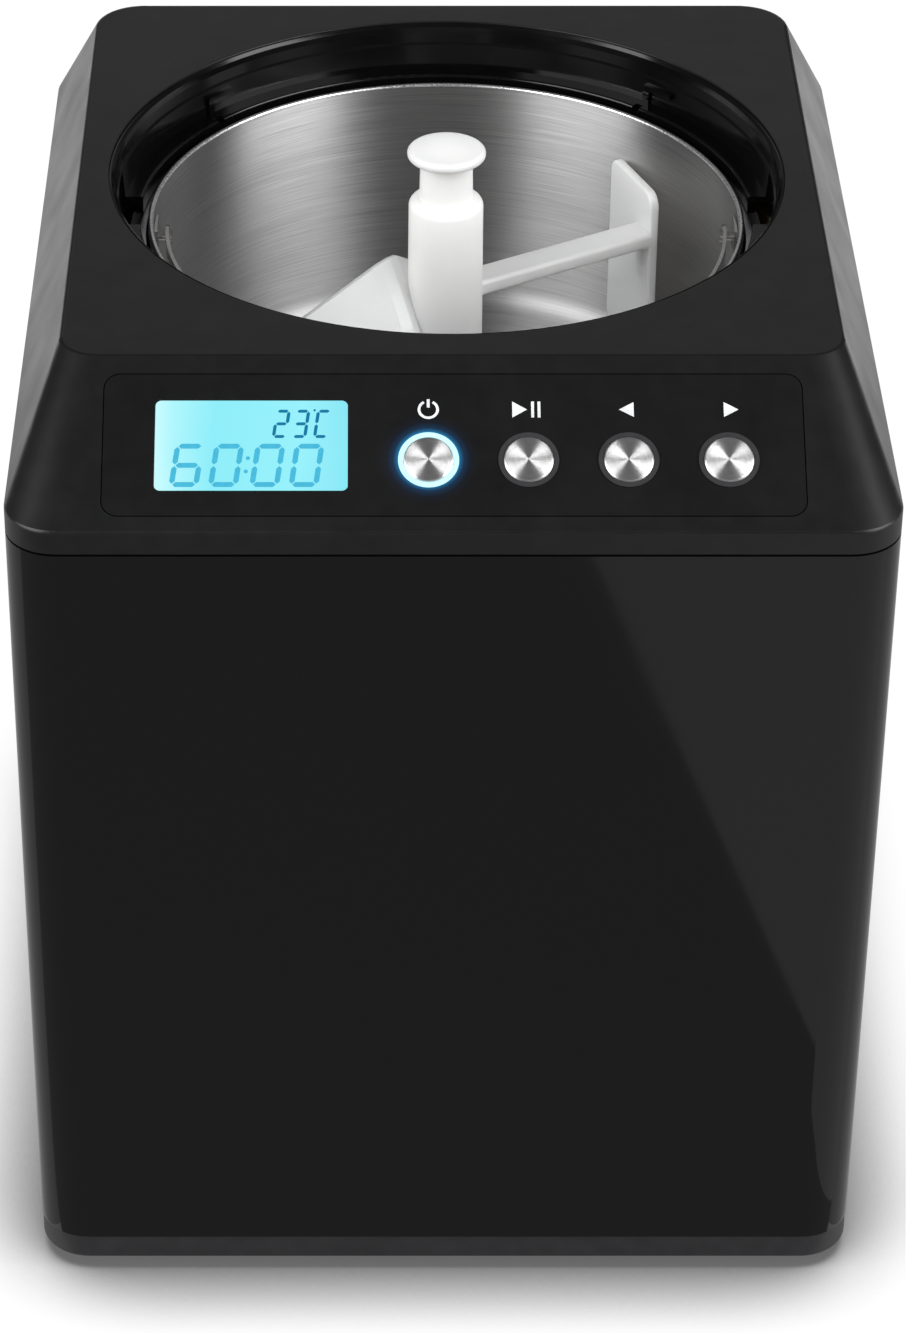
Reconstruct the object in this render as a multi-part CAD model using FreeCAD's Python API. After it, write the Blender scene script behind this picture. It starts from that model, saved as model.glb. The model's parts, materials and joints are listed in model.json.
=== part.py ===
"""Upright compressor ice cream maker: a rounded box housing, a sloped control panel, a round well in
the top that takes a lift-out steel bowl with a stirring paddle, and the cooling and drive inside.

Frame: millimetres, +Z up, +Y towards the back, +X to the right as seen from the front.
The origin is on the ground, under the middle of the housing's outline.
"""

import math
import os

import FreeCAD
import Part
from FreeCAD import Placement, Rotation, Vector

# ---------------------------------------------------------------- driving dimensions
BODY_W = 280.0  # housing width
BODY_D = 323.0  # housing depth
CORNER_R = 17.0  # vertical corners of the housing, in plan
TOP_FRONT_R = 12.5  # front corners of the flat top face
FOOT_H = 5.0  # rubber feet below the tray
TRAY_TOP = 15.0  # top of the base tray's visible band
SEAM_Z = 293.0  # joint between housing and top cover
SEAM_GAP = 0.8
BAND_TOP = 301.3  # top of the cover's upright band, where the slopes start
TOP_Z = 334.3  # flat top face
SIDE_RUN = 16.0  # how far each side slope leans in
FRONT_RUN = 52.6  # the same for the control slope
REAR_RUN = 15.1
COVER_T = 2.8  # moulded cover wall
SHEET_T = 1.5  # housing wall
LIP_DROP = 5.0  # how far the cover's lip reaches down inside the housing
WELL_Y = 18.4  # the well, the bowl and the paddle share this axis

OPEN_R = 114.2  # opening in the top face
EDGE_R = 0.4
LEDGE_Z = 318.0  # ledge inside the collar
LEDGE_R = 104.0
BOWL_RIM_Z = 316.5
BOWL_RIM_R = 101.4
BOWL_IN_R = 99.6  # inside radius at the rim
BOWL_FLOOR_Z = 228.5
BOWL_T = 1.3
BOWL_DRAFT = 1.0  # the inside radius shrinks by this much at the floor
BOWL_FILLET = 8.0
TUBE_R = 8.0  # the bowl's centre tube
TUBE_BORE = 6.5
TUBE_TOP = 268.0

HUB_R = 12.7  # paddle hub
HUB_TOP = 323.0
NECK_R = 9.15
KNOB_R = 13.3
KNOB_T = 3.3
KNOB_TOP = 341.5
ARM_AZ = 30.0  # direction of the paddle's arm, in degrees from +X towards +Y
ARM_Z = 282.75
ARM_REACH = 86.9
ARM_ACROSS = (0.6, 12.4)  # the arm's two sides, measured forwards from the axis
BLADE_TOP = 300.6
BLADE_T = 3.4

SHAFT_R = 4.0
SHAFT_HEX_Z, SHAFT_TOP = 241.0, 252.0  # the hexagonal tip that enters the bush
GEAR_MODULE = 1.25
WHEEL_TEETH = 48
PINION_TEETH = 12
PRESSURE_DEG = 25.0
BACKLASH = 0.16

SLOPE_DEG = math.degrees(math.atan2(TOP_Z - BAND_TOP, FRONT_RUN))
FASCIA_HALF_W = 109.0
FASCIA_LOW, FASCIA_HIGH = 5.9, 55.1  # along the slope, from its lower edge
FASCIA_R = 5.0
FASCIA_T = 1.8
BUTTON_X = {"power": -7.8, "start": 23.3, "down": 54.4, "up": 85.5}
BUTTON_S = 25.1
BUTTON_HOLE_R = 9.5
CAP_R = 7.75
LCD_X0, LCD_X1 = -93.0, -32.8
LCD_S0, LCD_S1 = 14.5, 46.0
LCD_CORNER = 2.0

FRAME_Z = 186.0  # underside of the chassis plate
FRAME_T = 3.0
TRAY_FLOOR = 7.5  # top of the tray's floor

X_AXIS, Y_AXIS, Z_AXIS = Vector(1, 0, 0), Vector(0, 1, 0), Vector(0, 0, 1)
HALF_W, HALF_D = BODY_W / 2, BODY_D / 2


# ---------------------------------------------------------------- helpers
def box(x0, x1, y0, y1, z0, z1):
    return Part.makeBox(x1 - x0, y1 - y0, z1 - z0, Vector(x0, y0, z0))


def rod(r, z0, z1, x=0.0, y=0.0):
    """Upright cylinder."""
    return Part.makeCylinder(r, z1 - z0, Vector(x, y, z0), Z_AXIS)


def rod_x(r, x0, x1, y, z):
    return Part.makeCylinder(r, x1 - x0, Vector(x0, y, z), X_AXIS)


def rod_y(r, y0, y1, x, z):
    return Part.makeCylinder(r, y1 - y0, Vector(x, y0, z), Y_AXIS)


def ring(r_out, r_in, z0, z1, x=0.0, y=0.0):
    return rod(r_out, z0, z1, x, y).cut(rod(r_in, z0 - 1, z1 + 1, x, y))


def fuse(shapes):
    shapes = list(shapes)
    return shapes[0].multiFuse(shapes[1:]).removeSplitter() if len(shapes) > 1 else shapes[0]


def group(shapes):
    """Several separate solids in one node."""
    return Part.makeCompound(list(shapes))


def rounded_wire(half_w, y0, y1, r, z, front_r=None):
    """Rounded rectangle at height z, anticlockwise from the front edge."""
    f = r if front_r is None else front_r
    inset = 1 - math.sqrt(0.5)
    k, j = r * inset, f * inset
    x = half_w
    line, arc = Part.LineSegment, Part.Arc
    v = lambda a, b: Vector(a, b, z)
    return Part.Wire([
        line(v(-x + f, y0), v(x - f, y0)).toShape(),
        arc(v(x - f, y0), v(x - j, y0 + j), v(x, y0 + f)).toShape(),
        line(v(x, y0 + f), v(x, y1 - r)).toShape(),
        arc(v(x, y1 - r), v(x - k, y1 - k), v(x - r, y1)).toShape(),
        line(v(x - r, y1), v(-x + r, y1)).toShape(),
        arc(v(-x + r, y1), v(-x + k, y1 - k), v(-x, y1 - r)).toShape(),
        line(v(-x, y1 - r), v(-x, y0 + f)).toShape(),
        arc(v(-x, y0 + f), v(-x + j, y0 + j), v(-x + f, y0)).toShape(),
    ])


def rounded_block(half_w, y0, y1, r, z0, z1):
    return Part.Face(rounded_wire(half_w, y0, y1, r, z0)).extrude(Vector(0, 0, z1 - z0))


def rounded_plate(x0, x1, y0, y1, r, z0, z1):
    """Rounded block that isn't centred on X."""
    block = rounded_block((x1 - x0) / 2, y0, y1, r, z0, z1)
    block.translate(Vector((x0 + x1) / 2, 0, 0))
    return block


def turned(profile, x=0.0, y=WELL_Y):
    """Solid of revolution about the vertical line through (x, y); profile is a list of (radius, z)."""
    points = [Vector(x + r, y, z) for r, z in profile]
    face = Part.Face(Part.makePolygon(points + points[:1]))
    return face.revolve(Vector(x, y, 0), Z_AXIS, 360)


def edges_at(shape, test):
    return [e for e in shape.Edges if test(e)]


def circle_edges(shape, radius, z, tol=0.05):
    """Full or part circles of that radius lying at height z."""
    found = []
    for e in shape.Edges:
        c = e.Curve
        if isinstance(c, Part.Circle) and abs(c.Radius - radius) < tol and abs(c.Center.z - z) < tol:
            found.append(e)
    return found


def to_slope(shape):
    """Moves a shape drawn flat (x, distance up the slope, height above it) onto the control slope."""
    out = shape.copy()
    out.Placement = Placement(
        Vector(0, -HALF_D, BAND_TOP), Rotation(X_AXIS, SLOPE_DEG)
    ).multiply(out.Placement)
    return out


def tube_path(points, radius, bend=10.0):
    """Round tube along straight runs joined by tangent arcs of one bend radius."""
    pts = [Vector(*p) for p in points]
    edges, start = [], pts[0]
    for before, corner, after in zip(pts, pts[1:], pts[2:]):
        a = (before - corner).normalize()
        b = (after - corner).normalize()
        half = math.acos(max(-1.0, min(1.0, a.dot(b)))) / 2
        reach = bend / math.tan(half)
        p, q = corner + a * reach, corner + b * reach
        to_centre = (a + b).normalize()
        middle = corner + to_centre * (bend / math.sin(half) - bend)
        edges.append(Part.LineSegment(start, p).toShape())
        edges.append(Part.Arc(p, middle, q).toShape())
        start = q
    edges.append(Part.LineSegment(start, pts[-1]).toShape())
    path = Part.Wire(edges)
    section = Part.Wire(Part.makeCircle(radius, pts[0], pts[1] - pts[0]))
    return path.makePipeShell([section], True, False)


def polar(azimuth, radius, across=0.0, z=0.0):
    """Point given by direction from the well's axis, distance out and offset across (anticlockwise)."""
    a = math.radians(azimuth)
    return Vector(
        radius * math.cos(a) - across * math.sin(a),
        WELL_Y + radius * math.sin(a) + across * math.cos(a),
        z,
    )


def hex_prism(across_flats, z0, z1, x=0.0, y=WELL_Y):
    r = across_flats / 2 / math.cos(math.pi / 6)
    pts = [
        Vector(x + r * math.cos(math.radians(60 * i)), y + r * math.sin(math.radians(60 * i)), z0)
        for i in range(6)
    ]
    return Part.Face(Part.makePolygon(pts + pts[:1])).extrude(Vector(0, 0, z1 - z0))


def involute_gear(teeth, z0, z1, x, y, tooth_angle):
    """Spur gear with one tooth centred on tooth_angle (radians)."""
    alpha = math.radians(PRESSURE_DEG)
    pitch = GEAR_MODULE * teeth / 2
    base = pitch * math.cos(alpha)
    tip = pitch + 0.95 * GEAR_MODULE
    root = pitch - 1.2 * GEAR_MODULE
    half_pitch = (math.pi * GEAR_MODULE / 2 - BACKLASH) / (2 * pitch)
    inv = lambda a: math.tan(a) - a
    flank = []
    low = max(base, root + 0.01)
    for i in range(4):
        r = low + (tip - low) * i / 3
        half = half_pitch + inv(alpha) - inv(math.acos(min(1.0, base / r)))
        flank.append((r, half))
    outline = []
    for k in range(teeth):
        mid = tooth_angle + 2 * math.pi * k / teeth
        side = [(root, -flank[0][1])] + [(r, -h) for r, h in flank]
        side += [(r, h) for r, h in reversed(flank)] + [(root, flank[0][1])]
        outline += [
            Vector(x + r * math.cos(mid + a), y + r * math.sin(mid + a), z0) for r, a in side
        ]
    return Part.Face(Part.makePolygon(outline + outline[:1])).extrude(Vector(0, 0, z1 - z0))


# ---------------------------------------------------------------- top cover and control panel
def cover_outer():
    low = rounded_wire(HALF_W, -HALF_D, HALF_D, CORNER_R, BAND_TOP)
    high = rounded_wire(
        HALF_W - SIDE_RUN, -HALF_D + FRONT_RUN, HALF_D - REAR_RUN, CORNER_R, TOP_Z, TOP_FRONT_R
    )
    slopes = Part.makeLoft([low, high], True, True)
    band = rounded_block(HALF_W, -HALF_D, HALF_D, CORNER_R, SEAM_Z + SEAM_GAP / 2, BAND_TOP)
    body = slopes.fuse(band).removeSplitter()
    soft = edges_at(body, lambda e: all(abs(v.Z - TOP_Z) < 0.01 for v in e.Vertexes))
    crease = edges_at(body, lambda e: all(abs(v.Z - BAND_TOP) < 0.01 for v in e.Vertexes))
    body = body.makeFillet(1.6, soft)
    crease = edges_at(
        body,
        lambda e: all(abs(v.Z - BAND_TOP) < 0.01 for v in e.Vertexes)
        and e.BoundBox.ZLength < 0.01,
    )
    return body.makeFillet(1.2, crease)


def cover_inner():
    rise = TOP_Z - BAND_TOP
    lean = lambda run: COVER_T / math.sin(math.atan2(rise, run))
    back = lambda run: run * COVER_T / rise
    side, front, rear = lean(SIDE_RUN), lean(FRONT_RUN), lean(REAR_RUN)
    radius = CORNER_R - 3.0
    low = rounded_wire(
        HALF_W - side, -HALF_D + front, HALF_D - rear, radius, BAND_TOP
    )
    high = rounded_wire(
        HALF_W - SIDE_RUN + back(SIDE_RUN) - side,
        -HALF_D + FRONT_RUN - back(FRONT_RUN) + front,
        HALF_D - REAR_RUN + back(REAR_RUN) - rear,
        radius,
        TOP_Z - COVER_T,
        TOP_FRONT_R - 3.0,
    )
    slopes = Part.makeLoft([low, high], True, True)
    band = rounded_block(
        HALF_W - COVER_T, -HALF_D + COVER_T, HALF_D - COVER_T, radius, SEAM_Z - 1, BAND_TOP
    )
    return [slopes, band]


def make_top_cover():
    body = cover_outer()
    for hollow in cover_inner():
        body = body.cut(hollow)
    inset, lip_t = SHEET_T + 0.3, 2.0
    lip = rounded_block(
        HALF_W - inset, -HALF_D + inset, HALF_D - inset, CORNER_R - inset, SEAM_Z - LIP_DROP, SEAM_Z + 2
    ).cut(
        rounded_block(
            HALF_W - inset - lip_t, -HALF_D + inset + lip_t, HALF_D - inset - lip_t,
            CORNER_R - inset - lip_t, SEAM_Z - LIP_DROP - 1, SEAM_Z + 3,
        )
    )
    body = body.fuse(lip).removeSplitter()
    body = body.cut(rod(OPEN_R, TOP_Z - 20, TOP_Z + 5, 0, WELL_Y))
    body = body.makeFillet(EDGE_R, circle_edges(body, OPEN_R, TOP_Z))
    gap = 0.35
    pocket = rounded_plate(
        -FASCIA_HALF_W - gap, FASCIA_HALF_W + gap, FASCIA_LOW - gap, FASCIA_HIGH + gap,
        FASCIA_R + gap, -FASCIA_T - 0.2, 4,
    )
    window = rounded_plate(
        -FASCIA_HALF_W + 4, FASCIA_HALF_W - 4, FASCIA_LOW + 4, FASCIA_HIGH - 4, 3, -8, 4
    )
    body = body.cut(to_slope(pocket)).cut(to_slope(window))
    return body


BOARD_TOP = -11.6
BOARD_POST_AT = [(x, s) for x in (-100, 100) for s in (14, 48)]


def make_fascia():
    """Flush panel in the control slope, with moulded posts behind it for the board."""
    plate = rounded_plate(
        -FASCIA_HALF_W, FASCIA_HALF_W, FASCIA_LOW, FASCIA_HIGH, FASCIA_R, -FASCIA_T - 0.2, 0
    )
    for x in BUTTON_X.values():
        plate = plate.cut(rod(BUTTON_HOLE_R, -5, 5, x, BUTTON_S))
    plate = plate.cut(rounded_plate(LCD_X0, LCD_X1, LCD_S0, LCD_S1, LCD_CORNER, -5, 5))
    posts = [rod(2.6, BOARD_TOP, -FASCIA_T - 0.2, x, s) for x, s in BOARD_POST_AT]
    return to_slope(fuse([plate] + posts))


def make_display_window():
    gap = 0.1
    lens = rounded_plate(
        LCD_X0 + gap, LCD_X1 - gap, LCD_S0 + gap, LCD_S1 - gap, LCD_CORNER - gap, -1.4, -0.1
    )
    return to_slope(lens)


def make_display_module():
    gap = 0.3
    body = box(LCD_X0 - 2, LCD_X1 + 2, LCD_S0 - 1.5, LCD_S1 + 1.5, -6.5, -2.1)
    glass = rounded_plate(
        LCD_X0 + gap, LCD_X1 - gap, LCD_S0 + gap, LCD_S1 - gap, LCD_CORNER - gap, -2.1, -1.5
    )
    return to_slope(body.fuse(glass).removeSplitter())


def bezel(x):
    """Ring round a button: a low collar with a chamfered rim and a flange behind the fascia."""
    tube = rod(BUTTON_HOLE_R - 0.05, -4.0, 0.4, x, BUTTON_S)
    tube = tube.fuse(rod(BUTTON_HOLE_R + 1.2, -4.0, -FASCIA_T - 0.25, x, BUTTON_S))
    tube = tube.cut(rod(CAP_R + 0.2, -5, 2, x, BUTTON_S))
    return to_slope(tube.removeSplitter())


def button_cap(x):
    """Steel disc with a bevelled edge and a faintly dished face."""
    disc = rod(CAP_R, -2.0, 1.0, x, BUTTON_S)
    edge = circle_edges(disc, CAP_R, 1.0)
    disc = disc.makeChamfer(0.45, edge)
    dish_r = 320.0
    dish = Part.makeSphere(dish_r, Vector(x, BUTTON_S, 1.0 + dish_r - 0.08))
    return to_slope(disc.cut(dish))


def button_plunger(x):
    """Black stem behind the cap, with a flange that stops on the bezel."""
    stem = rod(5.6, -8.0, -2.0, x, BUTTON_S)
    flange = rod(8.6, -5.6, -4.3, x, BUTTON_S)
    return to_slope(stem.fuse(flange).removeSplitter())


def make_control_board():
    return to_slope(box(-104, 104, 9, 52, BOARD_TOP - 1.6, BOARD_TOP))


def make_button_switches():
    base = [
        box(x - 3, x + 3, BUTTON_S - 3, BUTTON_S + 3, BOARD_TOP, BOARD_TOP + 1.7)
        for x in BUTTON_X.values()
    ]
    nub = [rod(1.6, BOARD_TOP + 1.7, BOARD_TOP + 2.3, x, BUTTON_S) for x in BUTTON_X.values()]
    return group(to_slope(b.fuse(n).removeSplitter()) for b, n in zip(base, nub))


# ---------------------------------------------------------------- collar round the well
LUG_AT = (45, 135, 225, 315)


def make_collar():
    """Glossy ring that lines the opening, with a ledge for the lid, slots for its tabs and locking ribs."""
    flange_top = TOP_Z - COVER_T - 0.3
    profile = [
        (110.0, LEDGE_Z), (110.7, 326.8), (111.5, 327.5), (111.9, 331.0), (112.4, 332.9),
        (113.3, 333.9), (OPEN_R - 0.1, 333.7),
        (OPEN_R - 0.1, flange_top), (120.0, flange_top), (120.0, flange_top - 2.0),
        (113.6, flange_top - 2.0), (113.6, LEDGE_Z - 2.4), (LEDGE_R + 2.0, LEDGE_Z - 2.4),
        (LEDGE_R + 2.0, 311.8), (LEDGE_R, 311.8), (LEDGE_R, LEDGE_Z),
    ]
    body = turned(profile)
    body = body.makeFillet(0.8, circle_edges(body, LEDGE_R, LEDGE_Z))
    for side in (-1, 1):
        x0, x1 = sorted((side * (LEDGE_R - 3), side * 111.0))
        body = body.cut(box(x0, x1, WELL_Y - 10, WELL_Y + 10, 309, 327))
    for azimuth in LUG_AT:
        notch = box(LEDGE_R - 2, LEDGE_R + 2.4, WELL_Y + 5.4, WELL_Y + 8.4, LEDGE_Z - 1.6, LEDGE_Z + 1)
        notch.rotate(Vector(0, WELL_Y, 0), Z_AXIS, azimuth)
        body = body.cut(notch)
    return fuse([body] + [lock_lug(azimuth) for azimuth in LUG_AT])


def lock_lug(azimuth):
    """Lid-locking rib on the collar's wall: a level bar with an upright stop at its anticlockwise end."""
    shell = ring(111.2, 109.0, LEDGE_Z + 4.6, LEDGE_Z + 6.6, 0, WELL_Y)
    stop = ring(111.2, 109.0, LEDGE_Z - 1.0, LEDGE_Z + 6.6, 0, WELL_Y)
    bar = box(95, 125, WELL_Y - 4.5, WELL_Y + 8.0, 300, 340).common(shell)
    post = box(95, 125, WELL_Y + 5.4, WELL_Y + 8.0, 300, 340).common(stop)
    rib = bar.fuse(post)
    rib.rotate(Vector(0, WELL_Y, 0), Z_AXIS, azimuth)
    return rib


def make_collar_gasket():
    return ring(107.5, LEDGE_R + 0.4, 311.0, 311.7, 0, WELL_Y)


# ---------------------------------------------------------------- well, bowl and paddle
def make_evaporator_well():
    r, t = 102.3, 1.5
    floor = 225.0
    profile = [
        (8.0, floor - t), (8.0, floor), (r, floor), (r, 311.0), (107.5, 311.0), (107.5, 309.5),
        (r + t, 309.5), (r + t, floor - t),
    ]
    return turned(profile)


COIL_R, COIL_TUBE_R, COIL_PITCH = 108.2, 3.6, 11.5
COIL_Z0, COIL_Z1 = 234.0, 297.0
COIL_TURNS = (COIL_Z1 - COIL_Z0) / COIL_PITCH
COIL_END_DEG = (360.0 * COIL_TURNS) % 360.0
TAIL_R = 121.0


def make_evaporator_coil():
    """Copper tube wound round the well, with a tail down through the foam at each end."""
    helix = Part.makeHelix(COIL_PITCH, COIL_Z1 - COIL_Z0, COIL_R)
    helix.translate(Vector(0, WELL_Y, COIL_Z0))
    section = Part.Wire(Part.makeCircle(COIL_TUBE_R, Vector(COIL_R, WELL_Y, COIL_Z0), Y_AXIS))
    coil = Part.Wire(helix.Edges).makePipeShell([section], True, True)
    low = FRAME_Z + FRAME_T
    inlet = rod(COIL_TUBE_R, low, COIL_Z0, COIL_R, WELL_Y)
    end = polar(COIL_END_DEG, COIL_R, 0, COIL_Z1)
    corner = polar(COIL_END_DEG, TAIL_R, 0, COIL_Z1)
    outlet = tube_path([end, corner, Vector(corner.x, corner.y, low)], COIL_TUBE_R, 8.0)
    knuckles = [Part.makeSphere(COIL_TUBE_R, p) for p in (Vector(COIL_R, WELL_Y, COIL_Z0), end)]
    return fuse([coil, inlet, outlet] + knuckles)


def make_insulation():
    low, top = FRAME_Z + FRAME_T, 305.0
    block = rounded_block(128.0, -100.0, 152.0, 24.0, low, top)
    block = block.cut(rod(113.5, 221.0, top + 1, 0, WELL_Y))
    block = block.cut(rod(15.0, low - 1, 222.0, 0, WELL_Y))
    tail = polar(COIL_END_DEG, TAIL_R)
    channel = COIL_TUBE_R + 0.8
    block = block.cut(rod(channel, low - 1, COIL_Z0, COIL_R, WELL_Y))
    block = block.cut(rod(channel, low - 1, top + 1, tail.x, tail.y))
    outward = polar(COIL_END_DEG, 1.0) - Vector(0, WELL_Y, 0)
    start = polar(COIL_END_DEG, COIL_R, 0, COIL_Z1)
    return block.cut(Part.makeCylinder(channel, TAIL_R - COIL_R, start, outward))


def make_bowl():
    floor_r = BOWL_IN_R - BOWL_DRAFT
    outer = [
        (TUBE_BORE, BOWL_FLOOR_Z - BOWL_T), (floor_r + BOWL_T, BOWL_FLOOR_Z - BOWL_T),
        (BOWL_IN_R + BOWL_T, BOWL_RIM_Z - 4), (BOWL_RIM_R, BOWL_RIM_Z - 3), (BOWL_RIM_R, BOWL_RIM_Z),
        (BOWL_IN_R, BOWL_RIM_Z), (floor_r, BOWL_FLOOR_Z), (TUBE_R, BOWL_FLOOR_Z),
        (TUBE_R, TUBE_TOP), (TUBE_BORE, TUBE_TOP),
    ]
    body = turned(outer)
    body = body.makeFillet(BOWL_FILLET, circle_edges(body, floor_r, BOWL_FLOOR_Z))
    body = body.makeFillet(
        BOWL_FILLET + BOWL_T, circle_edges(body, floor_r + BOWL_T, BOWL_FLOOR_Z - BOWL_T)
    )
    body = body.makeFillet(2.0, circle_edges(body, TUBE_R, BOWL_FLOOR_Z))
    rim = circle_edges(body, BOWL_RIM_R, BOWL_RIM_Z) + circle_edges(body, BOWL_IN_R, BOWL_RIM_Z)
    return body.makeFillet(0.8, rim)


PIVOT_Z = 308.0
HOOP_R = 95.0
HOOP_T = 1.2
HOOP_TALL = 8.0
PIN_R = 1.6


def make_handle_brackets():
    """Weld-on plates inside the rim; each carries a headed pivot pin that points inwards."""
    made = []
    for side in (-1, 1):
        plate = ring(99.35, 98.3, PIVOT_Z - 6, PIVOT_Z + 5, 0, WELL_Y)
        x0, x1 = sorted((side * 90, side * 100))
        plate = plate.common(box(x0, x1, WELL_Y - 6, WELL_Y + 6, 300, 316))
        x0, x1 = sorted((side * 94.2, side * 98.6))
        pin = rod_x(PIN_R, x0, x1, WELL_Y, PIVOT_Z)
        x0, x1 = sorted((side * 93.4, side * 94.2))
        head = rod_x(2.4, x0, x1, WELL_Y, PIVOT_Z)
        made.append(fuse([plate, pin, head]))
    return group(made)


def make_bowl_handle():
    """Half hoop of flat strip with an eye at each end."""
    r_out, r_in = HOOP_R + HOOP_T / 2, HOOP_R - HOOP_T / 2
    hoop = ring(r_out, r_in, PIVOT_Z - HOOP_TALL / 2, PIVOT_Z + HOOP_TALL / 2, 0, WELL_Y)
    hoop = hoop.cut(box(-120, 120, WELL_Y, WELL_Y + 120, 290, 320))
    eyes = []
    for side in (-1, 1):
        x0, x1 = sorted((side * r_in, side * r_out))
        eyes.append(rod_x(HOOP_TALL / 2, x0, x1, WELL_Y, PIVOT_Z))
    body = fuse([hoop] + eyes)
    return body.cut(rod_x(PIN_R + 0.1, -100, 100, WELL_Y, PIVOT_Z))


def make_drive_bush():
    """Turning sleeve in the bowl's centre tube: takes the shaft below and the paddle above."""
    body = rod(TUBE_BORE - 0.3, BOWL_FLOOR_Z, TUBE_TOP + 0.1, 0, WELL_Y)
    body = body.fuse(rod(7.6, TUBE_TOP + 0.1, TUBE_TOP + 2, 0, WELL_Y))
    body = body.fuse(hex_prism(9.0, TUBE_TOP + 2, TUBE_TOP + 16))
    body = body.cut(rod(SHAFT_R + 0.3, BOWL_FLOOR_Z - 1, SHAFT_HEX_Z + 0.6, 0, WELL_Y))
    return body.cut(hex_prism(7.3, SHAFT_HEX_Z + 0.6, SHAFT_TOP + 1.0)).removeSplitter()


def prism_between(low, high):
    """Solid between two polygons with the same number of corners."""
    wires = [Part.makePolygon(list(p) + [p[0]]) for p in (low, high)]
    return Part.makeLoft(wires, True, True)


def paddle_hub():
    low = BOWL_FLOOR_Z + 1.0
    profile = [
        (0, low), (HUB_R + 0.5, low), (HUB_R, HUB_TOP), (NECK_R, HUB_TOP + 0.3),
        (NECK_R - 0.3, KNOB_TOP - KNOB_T), (KNOB_R, KNOB_TOP - KNOB_T), (KNOB_R, KNOB_TOP), (0, KNOB_TOP),
    ]
    body = turned(profile)
    body = body.makeFillet(3.3, circle_edges(body, HUB_R, HUB_TOP))
    knob = circle_edges(body, KNOB_R, KNOB_TOP) + circle_edges(body, KNOB_R, KNOB_TOP - KNOB_T)
    body = body.makeFillet(1.5, knob)
    return body


def paddle_blade():
    """Upright scraper near the wall; its leading edge is the outer, rear one."""
    a, b = polar(50.4, 97.0), polar(30.4, 86.4)
    along = (b - a).normalize()
    across = Vector(-along.y, along.x, 0) * BLADE_T / 2
    z0, z1 = BOWL_FLOOR_Z + 3.0, BLADE_TOP
    corners = [a - across, b - across, b + across, a + across]
    plate = prism_between(
        [Vector(p.x, p.y, z0) for p in corners], [Vector(p.x, p.y, z1) for p in corners]
    )
    for end, z, radius in ((a, z1, 4.5), (b, z1, 5.5), (a, z0, 9.5)):
        corner = Vector(end.x, end.y, z)
        plate = plate.makeFillet(
            radius, edges_at(plate, lambda e: (e.CenterOfMass - corner).Length < 0.1)
        )
    rims = edges_at(plate, lambda e: e.BoundBox.ZLength > 20 and e.BoundBox.DiagonalLength < 75)
    return plate.makeFillet(0.9, rims)


def paddle_arm(z, tall):
    """Flat bar from the hub's leading half out into the blade."""
    near, far = ARM_ACROSS
    ends = [polar(ARM_AZ, 0, near, z), polar(ARM_AZ, 0, far, z),
            polar(ARM_AZ, ARM_REACH, far, z), polar(ARM_AZ, ARM_REACH, near, z)]
    low = [p - Vector(0, 0, tall / 2) for p in ends]
    high = [p + Vector(0, 0, tall / 2) for p in ends]
    bar = prism_between(low, high)
    return bar.makeFillet(1.6, edges_at(bar, lambda e: e.Length > ARM_REACH - 1))


PLOW_AZ = ARM_AZ + 180.0
PLOW_T = 3.0
PLOW_CURVE = [(0.0, 0.0), (0.22, 0.12), (0.46, 0.28), (0.68, 0.48), (0.86, 0.72), (1.0, 1.0)]


def paddle_plow():
    """Scoop opposite the arm: a long face whose upper edge falls outwards, creased by the hub.

    Its foot leads on the floor. It ends short of the wall, so that it rises past the folded handle.
    """
    floor = BOWL_FLOOR_Z + 1.2

    def section(radius, top_z, top_across, foot_across):
        rise, lead = top_z - floor, foot_across - top_across
        face = [(top_across + lead * u, top_z - rise * v) for u, v in PLOW_CURVE]
        back = [(t - PLOW_T, max(z - PLOW_T * 0.4, floor)) for t, z in reversed(face)]
        return Part.makePolygon([polar(PLOW_AZ, radius, t, z) for t, z in face + back + face[:1]])

    sections = [
        section(8.0, 296.3, -10.6, 14.0),
        section(13.0, 299.2, -10.6, 20.0),
        section(16.0, 298.9, -10.4, 24.0),
        section(20.0, 297.7, -10.3, 24.5),
        section(90.5, 267.5, -9.5, 22.0),
    ]
    scoop = Part.makeLoft(sections, True, True)
    reach = rod(HOOP_R - 4.0, floor - 1, 320, 0, WELL_Y)
    return scoop.common(reach)


def make_paddle():
    arms = [paddle_arm(ARM_Z, 5.7), paddle_arm(BOWL_FLOOR_Z + 5.4, 4.8)]
    body = fuse([paddle_hub(), paddle_blade(), paddle_plow()] + arms)
    bore = rod(TUBE_R + 0.6, BOWL_FLOOR_Z, TUBE_TOP + 2.3, 0, WELL_Y)
    toe = rod(TUBE_R + 3.0, BOWL_FLOOR_Z, BOWL_FLOOR_Z + 3.0, 0, WELL_Y)
    socket = hex_prism(9.4, TUBE_TOP + 2.3, TUBE_TOP + 17)
    return body.cut(bore).cut(toe).cut(socket)


# ---------------------------------------------------------------- drive
CENTRE_GAP = GEAR_MODULE * (WHEEL_TEETH + PINION_TEETH) / 2
IDLER_DIR, MOTOR_DIR = 225.0, 300.0
IDLER_X = CENTRE_GAP * math.cos(math.radians(IDLER_DIR))
IDLER_Y = WELL_Y + CENTRE_GAP * math.sin(math.radians(IDLER_DIR))
MOTOR_X = IDLER_X + CENTRE_GAP * math.cos(math.radians(MOTOR_DIR))
MOTOR_Y = IDLER_Y + CENTRE_GAP * math.sin(math.radians(MOTOR_DIR))
BOX_Z0, BOX_Z1 = 150.0, 183.0
STAGE_1 = (157.0, 164.0)
STAGE_2 = (166.0, 173.0)


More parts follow.
